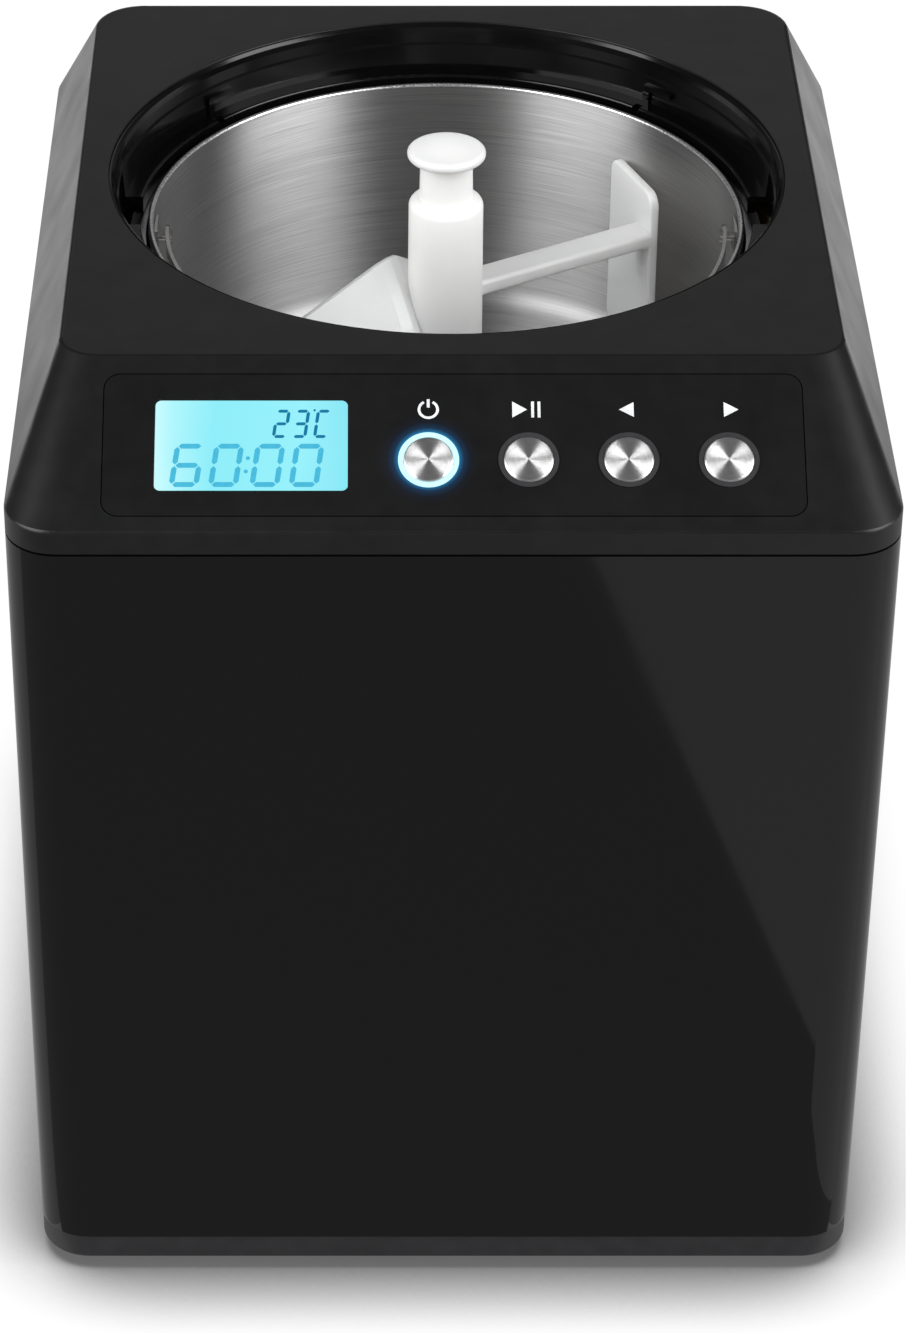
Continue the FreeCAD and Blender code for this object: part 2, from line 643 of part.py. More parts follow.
def make_output_shaft():
    body = rod(SHAFT_R, 151.0, SHAFT_HEX_Z, 0, WELL_Y)
    return body.fuse(hex_prism(7.0, SHAFT_HEX_Z, SHAFT_TOP)).removeSplitter()


def make_output_gear():
    """Wheel on the output shaft; a gap between teeth faces the idler's pinion."""
    gap_at = math.radians(IDLER_DIR)
    gear = involute_gear(
        WHEEL_TEETH, *STAGE_2, 0, WELL_Y, gap_at + math.pi / WHEEL_TEETH
    )
    hub = rod(9.0, STAGE_2[1], STAGE_2[1] + 4, 0, WELL_Y)
    return gear.fuse(hub).cut(rod(SHAFT_R, 150, 190, 0, WELL_Y)).removeSplitter()


def make_idler():
    """Compound idler: its pinion drives the output wheel and its wheel takes the motor's pinion."""
    to_output = math.radians(IDLER_DIR + 180)
    pinion = involute_gear(
        PINION_TEETH, STAGE_1[1], STAGE_2[1] + 0.6, IDLER_X, IDLER_Y, to_output
    )
    to_motor = math.radians(MOTOR_DIR)
    wheel = involute_gear(
        WHEEL_TEETH, *STAGE_1, IDLER_X, IDLER_Y, to_motor + math.pi / WHEEL_TEETH
    )
    return wheel.fuse(pinion).cut(rod(3.06, 150, 190, IDLER_X, IDLER_Y)).removeSplitter()


def make_idler_pin():
    return rod(3.0, BOX_Z0 + 3, BOX_Z1, IDLER_X, IDLER_Y)


def make_motor_pinion():
    to_idler = math.radians(MOTOR_DIR + 180)
    gear = involute_gear(
        PINION_TEETH, STAGE_1[0] - 1, STAGE_1[1] + 0.5, MOTOR_X, MOTOR_Y, to_idler
    )
    return gear.cut(rod(3.0, 150, 190, MOTOR_X, MOTOR_Y))


def make_motor_shaft():
    return rod(3.0, 96.0, STAGE_1[1] + 2.5, MOTOR_X, MOTOR_Y)


MOTOR_SCREW_AT = [(MOTOR_X + dx, MOTOR_Y + dy) for dx, dy in ((-17, 0), (17, 0))]


def make_motor():
    can = rod(24.0, 92.0, BOX_Z0, MOTOR_X, MOTOR_Y)
    can = can.makeFillet(2.5, circle_edges(can, 24.0, 92.0))
    can = can.fuse(rod(8.0, 89.0, 92.0, MOTOR_X, MOTOR_Y))
    can = can.cut(rod(3.06, 95.0, 160.0, MOTOR_X, MOTOR_Y))
    for x, y in MOTOR_SCREW_AT:
        can = can.cut(rod(1.6, 142.0, 151.0, x, y))
    return can.removeSplitter()


CASE_X0, CASE_X1 = -62.0, 42.0
CASE_Y0, CASE_Y1 = -66.0, 58.0
CASE_SCREW_AT = [(-58, -62), (38, -62), (-58, 54), (38, 54)]


def make_gearbox_case():
    body = rounded_plate(CASE_X0, CASE_X1, CASE_Y0, CASE_Y1, 8, BOX_Z0, BOX_Z1)
    body = body.cut(
        rounded_plate(CASE_X0 + 2.5, CASE_X1 - 2.5, CASE_Y0 + 2.5, CASE_Y1 - 2.5, 6, BOX_Z0 + 3, BOX_Z1 + 1)
    )
    posts = [rod(4.0, BOX_Z0, BOX_Z1, x, y) for x, y in CASE_SCREW_AT]
    body = fuse([body] + posts)
    for x, y in CASE_SCREW_AT:
        body = body.cut(rod(1.5, BOX_Z1 - 14, BOX_Z1 + 1, x, y))
    for x, y in MOTOR_SCREW_AT:
        body = body.cut(rod(1.6, BOX_Z0 - 1, BOX_Z0 + 5, x, y))
    body = body.cut(rod(7.0, BOX_Z0 - 1, BOX_Z0 + 4, 0, WELL_Y))
    return body.cut(rod(8.0, BOX_Z0 - 1, BOX_Z0 + 4, MOTOR_X, MOTOR_Y))


def make_gearbox_cover():
    body = rounded_plate(CASE_X0, CASE_X1, CASE_Y0, CASE_Y1, 8, BOX_Z1, FRAME_Z)
    for x, y in CASE_SCREW_AT:
        body = body.cut(rod(1.7, BOX_Z1 - 1, FRAME_Z + 1, x, y))
    return body.cut(rod(7.0, BOX_Z1 - 1, FRAME_Z + 1, 0, WELL_Y))


def make_gearbox_screws():
    """Four through the chassis and the lid into the gearbox posts, and two that hold the motor."""
    floor = BOX_Z0 + 3
    long = [rod(1.5, BOX_Z1 - 13, FRAME_Z + FRAME_T, x, y) for x, y in CASE_SCREW_AT]
    short = [
        rod(1.6, floor - 10, floor, x, y).fuse(rod(2.8, floor, floor + 1.8, x, y)).removeSplitter()
        for x, y in MOTOR_SCREW_AT
    ]
    return group(long + short)


def make_shaft_bushes():
    low = ring(7.0, SHAFT_R + 0.05, BOX_Z0, BOX_Z0 + 5.5, 0, WELL_Y)
    high = ring(7.0, SHAFT_R + 0.05, BOX_Z1 - 2, FRAME_Z + FRAME_T, 0, WELL_Y)
    return group([low, high])


def make_shaft_seal():
    return ring(8.0, SHAFT_R + 0.04, 221.5, 226.4, 0, WELL_Y)


# ---------------------------------------------------------------- chassis, housing and base
POST_AT = [(-124, -140), (124, -140), (-124, 146), (124, 146)]


def make_chassis():
    plate = rounded_block(134.0, -154.0, 154.0, 12.0, FRAME_Z, FRAME_Z + FRAME_T)
    posts = [box(x - 5, x + 5, y - 5, y + 5, TRAY_FLOOR, FRAME_Z) for x, y in POST_AT]
    body = fuse([plate] + posts)
    body = body.cut(rod(7.0, FRAME_Z - 1, FRAME_Z + 5, 0, WELL_Y))
    for x, y in CASE_SCREW_AT:
        body = body.cut(rod(1.7, FRAME_Z - 1, FRAME_Z + 5, x, y))
    for x, y in POST_AT:
        body = body.cut(rod(1.7, TRAY_FLOOR - 1, TRAY_FLOOR + 12, x, y))
    tail = polar(COIL_END_DEG, TAIL_R)
    for x, y in ((COIL_R, WELL_Y), (tail.x, tail.y)):
        body = body.cut(rod(COIL_TUBE_R + 0.8, FRAME_Z - 1, FRAME_Z + 5, x, y))
    return body.cut(box(-100, 100, -150, -118, FRAME_Z - 1, FRAME_Z + 5))


GRILLE_Y0, GRILLE_Y1 = -60.0, 96.0
GRILLE_Z0, GRILLE_Z1 = 34.0, 140.0
REAR_HALF_W = 114.0
REAR_Z0, REAR_Z1 = 24.0, 282.0
REAR_SEAT = HALF_D - 4.0  # the rear panel rests here, set in from the housing's back
REAR_SCREW_AT = [(x, z) for x in (-108.5, 108.5) for z in (36.0, 153.0, 270.0)]
GLAND_X, GLAND_Z, GLAND_R = -84.0, 46.0, 6.5
CORD_R = 3.6


def window_frame(margin, y0, y1):
    """Solid slab the size of the rear opening, grown by the margin."""
    return box(
        -REAR_HALF_W - margin, REAR_HALF_W + margin, y0, y1, REAR_Z0 - margin, REAR_Z1 + margin
    )


def make_housing():
    z0, z1 = TRAY_TOP, SEAM_Z - SEAM_GAP / 2
    half_w, half_d = HALF_W - SHEET_T, HALF_D - SHEET_T
    shell = rounded_block(HALF_W, -HALF_D, HALF_D, CORNER_R, z0, z1)
    shell = shell.cut(rounded_block(half_w, -half_d, half_d, CORNER_R - SHEET_T, z0 - 1, z1 + 1))
    joggle = window_frame(SHEET_T, REAR_SEAT - SHEET_T, HALF_D - SHEET_T / 2)
    shell = shell.fuse(joggle).cut(window_frame(0, REAR_SEAT, HALF_D + 5))
    shell = shell.cut(window_frame(-10.5, REAR_SEAT - 5, HALF_D)).removeSplitter()
    shell = shell.cut(box(-HALF_W - 5, HALF_W + 5, GRILLE_Y0, GRILLE_Y1, GRILLE_Z0, GRILLE_Z1))
    for x, z in REAR_SCREW_AT:
        shell = shell.cut(rod_y(1.6, REAR_SEAT - 5, HALF_D, x, z))
    return shell


def make_rear_panel():
    body = window_frame(-0.4, REAR_SEAT, REAR_SEAT + SHEET_T)
    for x0, x1 in ((-92, -12), (12, 92)):
        for row in range(12):
            z = 60 + 8.5 * row
            body = body.cut(box(x0, x1, REAR_SEAT - 1, HALF_D, z, z + 3.4))
    for x, z in REAR_SCREW_AT:
        body = body.cut(rod_y(1.6, REAR_SEAT - 5, HALF_D, x, z))
    return body.cut(rod_y(GLAND_R, REAR_SEAT - 5, HALF_D, GLAND_X, GLAND_Z))


def make_cord_gland():
    """Bush that the mains cord passes through: flange outside, snap collar inside."""
    face = REAR_SEAT + SHEET_T
    body = rod_y(GLAND_R, REAR_SEAT - 6, face + 2.0, GLAND_X, GLAND_Z)
    flange = rod_y(9.0, face, face + 2.0, GLAND_X, GLAND_Z)
    collar = rod_y(8.0, REAR_SEAT - 2.0, REAR_SEAT, GLAND_X, GLAND_Z)
    return fuse([body, flange, collar]).cut(rod_y(CORD_R, REAR_SEAT - 10, HALF_D, GLAND_X, GLAND_Z))


def make_rear_screws():
    """Pan-head screws with a cross recess."""
    face, head_h = REAR_SEAT + SHEET_T, 1.7
    made = []
    for x, z in REAR_SCREW_AT:
        head = rod_y(3.2, face, face + head_h, x, z)
        rim = edges_at(head, lambda e: abs(e.CenterOfMass.y - face - head_h) < 0.01)
        head = head.makeFillet(0.9, rim)
        for half_x, half_z in ((1.8, 0.4), (0.4, 1.8)):
            head = head.cut(box(x - half_x, x + half_x, face + 0.8, HALF_D, z - half_z, z + half_z))
        made.append(head.fuse(rod_y(1.6, face - 7.0, face, x, z)).removeSplitter())
    return group(made)


def make_side_grille(side):
    """Moulded louvre panel set flush in the housing's side."""
    gap = 0.25
    x_out = HALF_W - 0.05
    x0, x1 = x_out - SHEET_T - 0.8, x_out
    body = box(x0, x1, GRILLE_Y0 + gap, GRILLE_Y1 - gap, GRILLE_Z0 + gap, GRILLE_Z1 - gap)
    for row in range(14):
        z = GRILLE_Z0 + 8 + 6.8 * row
        for y0, y1 in ((GRILLE_Y0 + 8, 14), (22, GRILLE_Y1 - 8)):
            body = body.cut(box(x0 - 1, x1 + 1, y0, y1, z, z + 3.2))
    if side < 0:
        body = body.mirror(Vector(0, 0, 0), X_AXIS)
    return body


def make_base_tray():
    inset = 0.4
    z0 = FOOT_H
    half_w, half_d = HALF_W - inset, HALF_D - inset
    outer = rounded_block(half_w, -half_d, half_d, CORNER_R - inset, z0, TRAY_TOP)
    low = edges_at(outer, lambda e: abs(e.CenterOfMass.z - z0) < 0.01 and e.BoundBox.ZLength < 0.01)
    outer = outer.makeFillet(1.5, low)
    wall, lip_inset = 2.5, SHEET_T + 0.2

    def bore(z_low, z_high):
        return rounded_block(half_w - wall, -half_d + wall, half_d - wall, CORNER_R - wall, z_low, z_high)

    lip = rounded_block(
        HALF_W - lip_inset, -HALF_D + lip_inset, HALF_D - lip_inset, CORNER_R - lip_inset,
        TRAY_TOP - 2, TRAY_TOP + 5,
    ).cut(bore(TRAY_TOP - 3, TRAY_TOP + 6))
    body = outer.cut(bore(TRAY_FLOOR, TRAY_TOP + 1)).fuse(lip).removeSplitter()
    for row in range(9):
        y = -70 + 12.0 * row
        body = body.cut(box(-95, -55, y, y + 4, z0 - 1, TRAY_FLOOR + 1))
    for x, y in POST_AT:
        body = body.cut(rod(1.7, z0 - 1, TRAY_FLOOR + 1, x, y)).cut(rod(3.6, z0 - 1, z0 + 1.0, x, y))
    return body


FOOT_AT = [(-106, -134), (106, -134), (-106, 134), (106, 134)]


def make_feet():
    made = []
    for x, y in FOOT_AT:
        foot = rod(11.0, 0.0, FOOT_H, x, y)
        foot = foot.makeChamfer(0.8, circle_edges(foot, 11.0, 0.0))
        made.append(foot.cut(rod(4.0, -1.0, 1.6, x, y)))
    return group(made)


def make_base_screws():
    z = FOOT_H
    return group(
        rod(1.7, z + 1.0, TRAY_FLOOR + 10, x, y).fuse(rod(3.4, z - 0.6, z + 1.0, x, y)).removeSplitter()
        for x, y in POST_AT
    )


# ---------------------------------------------------------------- cooling
COMP_X, COMP_Y, COMP_R = 62.0, 66.0, 50.0
COMP_FOOT_AT = [(COMP_X + dx, COMP_Y + dy) for dx in (-52, 52) for dy in (-40, 40)]


def make_compressor():
    """Welded steel pot on a foot plate."""
    pot = rod(COMP_R, 24.5, 136.0, COMP_X, COMP_Y)
    pot = pot.makeFillet(24.0, circle_edges(pot, COMP_R, 136.0))
    pot = pot.makeFillet(12.0, circle_edges(pot, COMP_R, 24.5))
    seam = ring(COMP_R + 2.5, COMP_R - 1, 82.0, 85.0, COMP_X, COMP_Y)
    plate = rounded_plate(COMP_X - 60, COMP_X + 60, COMP_Y - 48, COMP_Y + 48, 8, 22.0, 24.5)
    body = fuse([pot, seam, plate])
    for x, y in COMP_FOOT_AT:
        body = body.cut(rod(4.0, 20, 26, x, y))
    return body


def make_compressor_grommets():
    return group(
        ring(8.0, 3.2, TRAY_FLOOR, 22.0, x, y) for x, y in COMP_FOOT_AT
    )


def make_compressor_bolts():
    return group(
        rod(3.0, TRAY_FLOOR, 32.0, x, y)
        .fuse(ring(7.0, 2.5, 24.5, 25.7, x, y))
        .fuse(hex_prism(10.0, 25.7, 30.5, x, y))
        .removeSplitter()
        for x, y in COMP_FOOT_AT
    )


def make_terminal_cover():
    body = box(COMP_X - 17, COMP_X + 17, COMP_Y - 72, COMP_Y - COMP_R - 3, 48, 96)
    return body.makeFillet(3.0, edges_at(body, lambda e: e.BoundBox.ZLength > 40))


FIN_X0, FIN_X1 = -133.0, -107.0
FIN_Z0, FIN_Z1 = 30.0, 142.0
TUBE_ROWS = [42.0 + 22.0 * i for i in range(5)]
COND_Y0, COND_Y1 = -56.0, 92.0
COND_X = (FIN_X0 + FIN_X1) / 2
COND_TUBE_R = 3.2


def make_condenser_tube():
    """Serpentine tube through the fins."""
    points = []
    for i, z in enumerate(TUBE_ROWS):
        ends = (COND_Y0 - 9, COND_Y1 + 9) if i % 2 == 0 else (COND_Y1 + 9, COND_Y0 - 9)
        points += [(COND_X, ends[0], z), (COND_X, ends[1], z)]
    return tube_path(points, COND_TUBE_R, 7.9)


def make_condenser_fins():
    """Thin plates on the tube; the first and last stand on the tray and carry the rest."""
    made = []
    count, thick = 24, 0.7
    for i in range(count):
        y = COND_Y0 + (COND_Y1 - COND_Y0 - thick) * i / (count - 1)
        end_plate = i in (0, count - 1)
        z0, z1 = (TRAY_FLOOR, FIN_Z1 + 3) if end_plate else (FIN_Z0, FIN_Z1)
        fin = box(FIN_X0, FIN_X1, y, y + thick, z0, z1)
        for z in TUBE_ROWS:
            fin = fin.cut(rod_y(COND_TUBE_R, y - 1, y + 2, COND_X, z))
        made.append(fin)
    return group(made)


FAN_X0, FAN_X1 = -104.0, -79.0
FAN_Y, FAN_Z, FAN_R = 18.0, 86.0, 41.0


def make_fan_frame():
    """Square shroud on two legs, with the motor seat and spindle held by crossed struts."""
    half = 46.0
    body = box(FAN_X0, FAN_X1, FAN_Y - half, FAN_Y + half, FAN_Z - half, FAN_Z + half)
    body = body.cut(rod_x(FAN_R + 2, FAN_X0 - 1, FAN_X1 + 1, FAN_Y, FAN_Z))
    struts = []
    for angle in (45, 135):
        bar = box(FAN_X1 - 3, FAN_X1, FAN_Y - half, FAN_Y + half, FAN_Z - 2, FAN_Z + 2)
        bar.rotate(Vector(0, FAN_Y, FAN_Z), X_AXIS, angle)
        struts.append(bar)
    legs = [
        box(FAN_X0, FAN_X1, y - 4, y + 4, TRAY_FLOOR, FAN_Z - half + 2)
        for y in (FAN_Y - half + 4, FAN_Y + half - 4)
    ]
    seat = rod_x(15.0, FAN_X1 - 6.0, FAN_X1 - 2.0, FAN_Y, FAN_Z)
    spindle = rod_x(2.0, FAN_X0 + 6, FAN_X1 - 5.0, FAN_Y, FAN_Z)
    return fuse([body, seat, spindle] + struts + legs)


def make_fan_rotor():
    hub = rod_x(17.0, FAN_X0 + 3, FAN_X1 - 6.6, FAN_Y, FAN_Z)
    hub = hub.cut(rod_x(2.06, FAN_X0 + 5.5, FAN_X1, FAN_Y, FAN_Z))
    blades = []
    for i in range(7):
        blade = Part.makeBox(1.6, 12.0, FAN_R - 16.0, Vector(-0.8, -6.0, 15.5))
        blade.rotate(Vector(0, 0, 0), Z_AXIS, 48)
        blade.rotate(Vector(0, 0, 0), X_AXIS, 360.0 * i / 7)
        blade.translate(Vector((FAN_X0 + FAN_X1) / 2 - 2, FAN_Y, FAN_Z))
        blades.append(blade)
    return fuse([hub] + blades)


DRIER_X, DRIER_Y = -66.0, 118.0
DRIER_Z0, DRIER_Z1 = 60.0, 120.0


def make_filter_drier():
    body = rod(7.5, DRIER_Z0, DRIER_Z1, DRIER_X, DRIER_Y)
    return body.makeFillet(4.0, circle_edges(body, 7.5, DRIER_Z0) + circle_edges(body, 7.5, DRIER_Z1))


def from_compressor(x, y, z):
    """Point on the compressor's wall in the direction of (x, y)."""
    out = Vector(x - COMP_X, y - COMP_Y, 0).normalize()
    return Vector(COMP_X, COMP_Y, z) + out * (COMP_R + 0.05)


def make_refrigerant_lines():
    """Discharge line to the condenser, liquid line to the drier, capillary to the coil, suction line."""
    low = FRAME_Z + FRAME_T - 0.1
    tail = polar(COIL_END_DEG, TAIL_R)
    discharge = tube_path([
        from_compressor(2, 6, 60), (2, 6, 60), (2, -75, 60), (COND_X, -75, 60),
        (COND_X, -75, TUBE_ROWS[0]), (COND_X, COND_Y0 - 9, TUBE_ROWS[0]),
    ], 2.5, 5.0)
    liquid = tube_path([
        (COND_X, COND_Y1 + 9, TUBE_ROWS[-1]), (COND_X, DRIER_Y, TUBE_ROWS[-1]),
        (DRIER_X, DRIER_Y, TUBE_ROWS[-1]), (DRIER_X, DRIER_Y, DRIER_Z1),
    ], 2.2, 4.0)
    capillary = tube_path([
        (DRIER_X, DRIER_Y, DRIER_Z0), (DRIER_X, DRIER_Y, 38), (-86, 132, 38), (-86, 132, 165),
        (tail.x, tail.y, 165), (tail.x, tail.y, low),
    ], 1.2, 6.0)
    suction = tube_path([
        from_compressor(COIL_R, WELL_Y, 100), (COIL_R, WELL_Y, 100), (COIL_R, WELL_Y, low),
    ], 3.0, 8.0)
    return group([discharge, liquid, capillary, suction])


def make_power_board():
    """Mains board on the inside of the front, on four stand-offs."""
    board = box(20, 110, -128, -126.4, 60, 150)
    parts = [
        box(30, 58, -126.4, -108, 70, 100), box(66, 82, -126.4, -112, 70, 84),
        rod_y(7, -126.4, -104.4, 94, 130),
    ]
    feet = [rod_y(3, -130.5, -128, x, z) for x in (26, 104) for z in (66, 144)]
    return fuse([board] + parts + feet)


def make_board_bracket():
    """Bent plate that carries the mains board from the base tray."""
    plate = box(16, 114, -132, -130.5, TRAY_FLOOR, 154)
    foot = box(16, 114, -130.5, -116, TRAY_FLOOR, TRAY_FLOOR + 1.5)
    return plate.fuse(foot).removeSplitter()


# ---------------------------------------------------------------- all nodes
NODES = {
    "base_tray": make_base_tray,
    "feet": make_feet,
    "base_screws": make_base_screws,
    "housing": make_housing,
    "rear_panel": make_rear_panel,
    "rear_screws": make_rear_screws,
    "cord_gland": make_cord_gland,
    "side_grille_left": lambda: make_side_grille(-1),
    "side_grille_right": lambda: make_side_grille(1),
    "top_cover": make_top_cover,
    "control_fascia": make_fascia,
    "display_window": make_display_window,
    "display_module": make_display_module,
    "control_board": make_control_board,
    "button_switches": make_button_switches,
    "power_light_ring": lambda: bezel(BUTTON_X["power"]),
    "button_bezels": lambda: group(bezel(BUTTON_X[n]) for n in ("start", "down", "up")),
    "bowl_collar": make_collar,
    "collar_gasket": make_collar_gasket,
    "evaporator_well": make_evaporator_well,
    "evaporator_coil": make_evaporator_coil,
    "insulation_jacket": make_insulation,
    "removable_bowl": make_bowl,
    "handle_brackets": make_handle_brackets,
    "bowl_handle": make_bowl_handle,
    "drive_bush": make_drive_bush,
    "paddle": make_paddle,
    "output_shaft": make_output_shaft,
    "output_gear": make_output_gear,
    "idler_gear": make_idler,
    "idler_pin": make_idler_pin,
    "motor_pinion": make_motor_pinion,
    "motor_shaft": make_motor_shaft,
    "drive_motor": make_motor,
    "gearbox_case": make_gearbox_case,
    "gearbox_cover": make_gearbox_cover,
    "gearbox_screws": make_gearbox_screws,
    "shaft_bushes": make_shaft_bushes,
    "shaft_seal": make_shaft_seal,
    "chassis": make_chassis,
    "compressor": make_compressor,
    "compressor_grommets": make_compressor_grommets,
    "compressor_bolts": make_compressor_bolts,
    "terminal_cover": make_terminal_cover,
    "condenser_tube": make_condenser_tube,
    "condenser_fins": make_condenser_fins,
    "fan_frame": make_fan_frame,
    "fan_rotor": make_fan_rotor,
    "filter_drier": make_filter_drier,
    "refrigerant_lines": make_refrigerant_lines,
    "power_board": make_power_board,
    "board_bracket": make_board_bracket,
}
for _name in BUTTON_X:
    NODES[_name + "_button_cap"] = lambda n=_name: button_cap(BUTTON_X[n])
    NODES[_name + "_button_plunger"] = lambda n=_name: button_plunger(BUTTON_X[n])


def main():
    os.makedirs("parts", exist_ok=True)
    for name, make in NODES.items():
        shape = make()
        if not shape.isValid() or shape.Volume <= 0:
            print("PROBLEM", name, shape.isValid(), shape.Volume)
        shape.exportStep(os.path.join("parts", name + ".step"))
        print(f"{name}: {len(shape.Solids)} solid(s), {shape.Volume / 1000:.2f} cm3")


main()
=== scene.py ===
"""Looks for the upright compressor ice cream maker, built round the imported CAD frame. Metres, +Z up."""

import json
import math

import bmesh
import bpy
from mathutils import Matrix, Vector


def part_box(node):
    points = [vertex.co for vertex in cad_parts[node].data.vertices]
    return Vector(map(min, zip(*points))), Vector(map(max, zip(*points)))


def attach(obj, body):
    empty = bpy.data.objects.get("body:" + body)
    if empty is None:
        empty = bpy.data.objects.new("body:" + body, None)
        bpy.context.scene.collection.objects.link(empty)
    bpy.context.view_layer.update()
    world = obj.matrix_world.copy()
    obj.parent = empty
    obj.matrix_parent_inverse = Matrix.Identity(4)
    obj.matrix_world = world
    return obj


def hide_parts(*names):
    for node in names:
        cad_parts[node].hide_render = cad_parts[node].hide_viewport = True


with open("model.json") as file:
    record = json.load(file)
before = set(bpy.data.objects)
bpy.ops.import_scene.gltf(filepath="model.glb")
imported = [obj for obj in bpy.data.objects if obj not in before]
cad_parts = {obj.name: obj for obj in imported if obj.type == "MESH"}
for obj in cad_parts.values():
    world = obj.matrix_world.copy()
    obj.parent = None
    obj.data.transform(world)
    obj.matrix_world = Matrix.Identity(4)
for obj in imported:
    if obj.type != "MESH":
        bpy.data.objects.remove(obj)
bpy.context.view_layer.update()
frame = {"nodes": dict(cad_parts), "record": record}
nodes = frame["nodes"]

MM = 0.001
RISE, RUN = 33.0, 52.6  # the control slope, in millimetres up and back
SLOPE = math.atan2(RISE, RUN)
BAND_TOP = 301.3 * MM  # where the slope starts

bowl_lo, bowl_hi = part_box("removable_bowl")
WELL = Vector(((bowl_lo.x + bowl_hi.x) / 2, (bowl_lo.y + bowl_hi.y) / 2, 0))
RIM_Z = bowl_hi.z
cover_lo, cover_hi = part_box("top_cover")
ON_SLOPE = Matrix.Translation((0, cover_lo.y, BAND_TOP)) @ Matrix.Rotation(SLOPE, 4, "X")
BUTTONS = ("power", "start", "down", "up")


def node_centre(node):
    lo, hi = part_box(node)
    return (lo + hi) / 2


def slope_place(node):
    """Centre of a node in the control slope's own axes: x, distance up the slope, height above it."""
    return ON_SLOPE.inverted() @ node_centre(node)


# ---------------------------------------------------------------- node helpers
class Shader:
    """A material's node tree with short ways to add and link nodes."""

    def __init__(self, name, **inputs):
        self.material = bpy.data.materials.new(name)
        self.material.use_nodes = True
        self.tree = self.material.node_tree
        self.bsdf = self.tree.nodes["Principled BSDF"]
        self.set(**inputs)

    def set(self, **inputs):
        for key, value in inputs.items():
            socket = self.bsdf.inputs[key.replace("_", " ")]
            if socket.type == "RGBA":
                value = (*value[:3], 1.0)
            socket.default_value = value
        return self

    def node(self, kind, **settings):
        made = self.tree.nodes.new("ShaderNode" + kind)
        for key, value in settings.items():
            if hasattr(made, key):
                setattr(made, key, value)
            else:
                made.inputs[key.replace("_", " ")].default_value = value
        return made

    def link(self, source, target):
        self.tree.links.new(source, target)

    def to(self, source, socket):
        self.link(source, self.bsdf.inputs[socket])

    def coords(self):
        return self.node("TexCoord").outputs["Object"]

    def maths(self, operation, a, b=None):
        made = self.node("Math", operation=operation)
        for socket, value in zip(made.inputs, (a, b)):
            if value is None:
                continue
            if isinstance(value, (int, float)):
                socket.default_value = value
            else:
                self.link(value, socket)
        return made.outputs[0]

    def noise(self, scale, detail=2.0, vector=None, roughness=0.5):
        made = self.node("TexNoise", Scale=scale, Detail=detail, Roughness=roughness)
        self.link(vector or self.coords(), made.inputs["Vector"])
        return made.outputs["Fac"]

    def ramp(self, source, stops):
        """Maps a value to a colour or grey between stops, each (position, value)."""
        made = self.node("ValToRGB")
        ramp = made.color_ramp
        while len(ramp.elements) < len(stops):
            ramp.elements.new(0.5)
        for element, (place, value) in zip(ramp.elements, stops):
            element.position = place
            element.color = (value, value, value, 1) if isinstance(value, float) else (*value, 1)
        self.link(source, made.inputs["Fac"])
        return made.outputs["Color"]

    def remap(self, source, from_low, from_high, to_low, to_high):
        made = self.node("MapRange")
        for key, value in (
            ("From Min", from_low), ("From Max", from_high), ("To Min", to_low), ("To Max", to_high)
        ):
            made.inputs[key].default_value = value
        self.link(source, made.inputs["Value"])
        return made.outputs["Result"]

    def bump(self, height, strength, distance):
        made = self.node("Bump", Strength=strength, Distance=distance)
        self.link(height, made.inputs["Height"])
        if self.bsdf.inputs["Normal"].links:
            self.link(self.bsdf.inputs["Normal"].links[0].from_socket, made.inputs["Normal"])
        self.to(made.outputs["Normal"], "Normal")
        return self


# ---------------------------------------------------------------- materials
def moulded_plastic(name, colour, roughness, grain=0.12, grain_scale=2600.0, gloss=0.5):
    """Opaque moulded plastic: fine even grain, slightly cloudy gloss."""
    s = Shader(name, Base_Color=colour, Specular_IOR_Level=gloss)
    cloud = s.noise(45.0, 4.0)
    s.to(s.remap(cloud, 0.3, 0.7, roughness - 0.04, roughness + 0.04), "Roughness")
    low = tuple(c * 0.88 for c in colour)
    high = tuple(min(1.0, c * 1.12) for c in colour)
    s.to(s.ramp(s.noise(160.0, 3.0), [(0.35, low), (0.65, high)]), "Base Color")
    s.bump(s.noise(grain_scale, 2.0), grain, 0.00006)
    return s


def gloss_black():
    """Lacquered sheet: deep black, nearly flat, with a very faint ripple."""
    s = Shader("gloss_black", Base_Color=(0.0035, 0.0035, 0.0038), Specular_IOR_Level=0.4)
    s.to(s.remap(s.noise(30.0, 5.0), 0.3, 0.7, 0.045, 0.075), "Roughness")
    s.bump(s.noise(22.0, 1.0), 0.05, 0.0004)
    return s


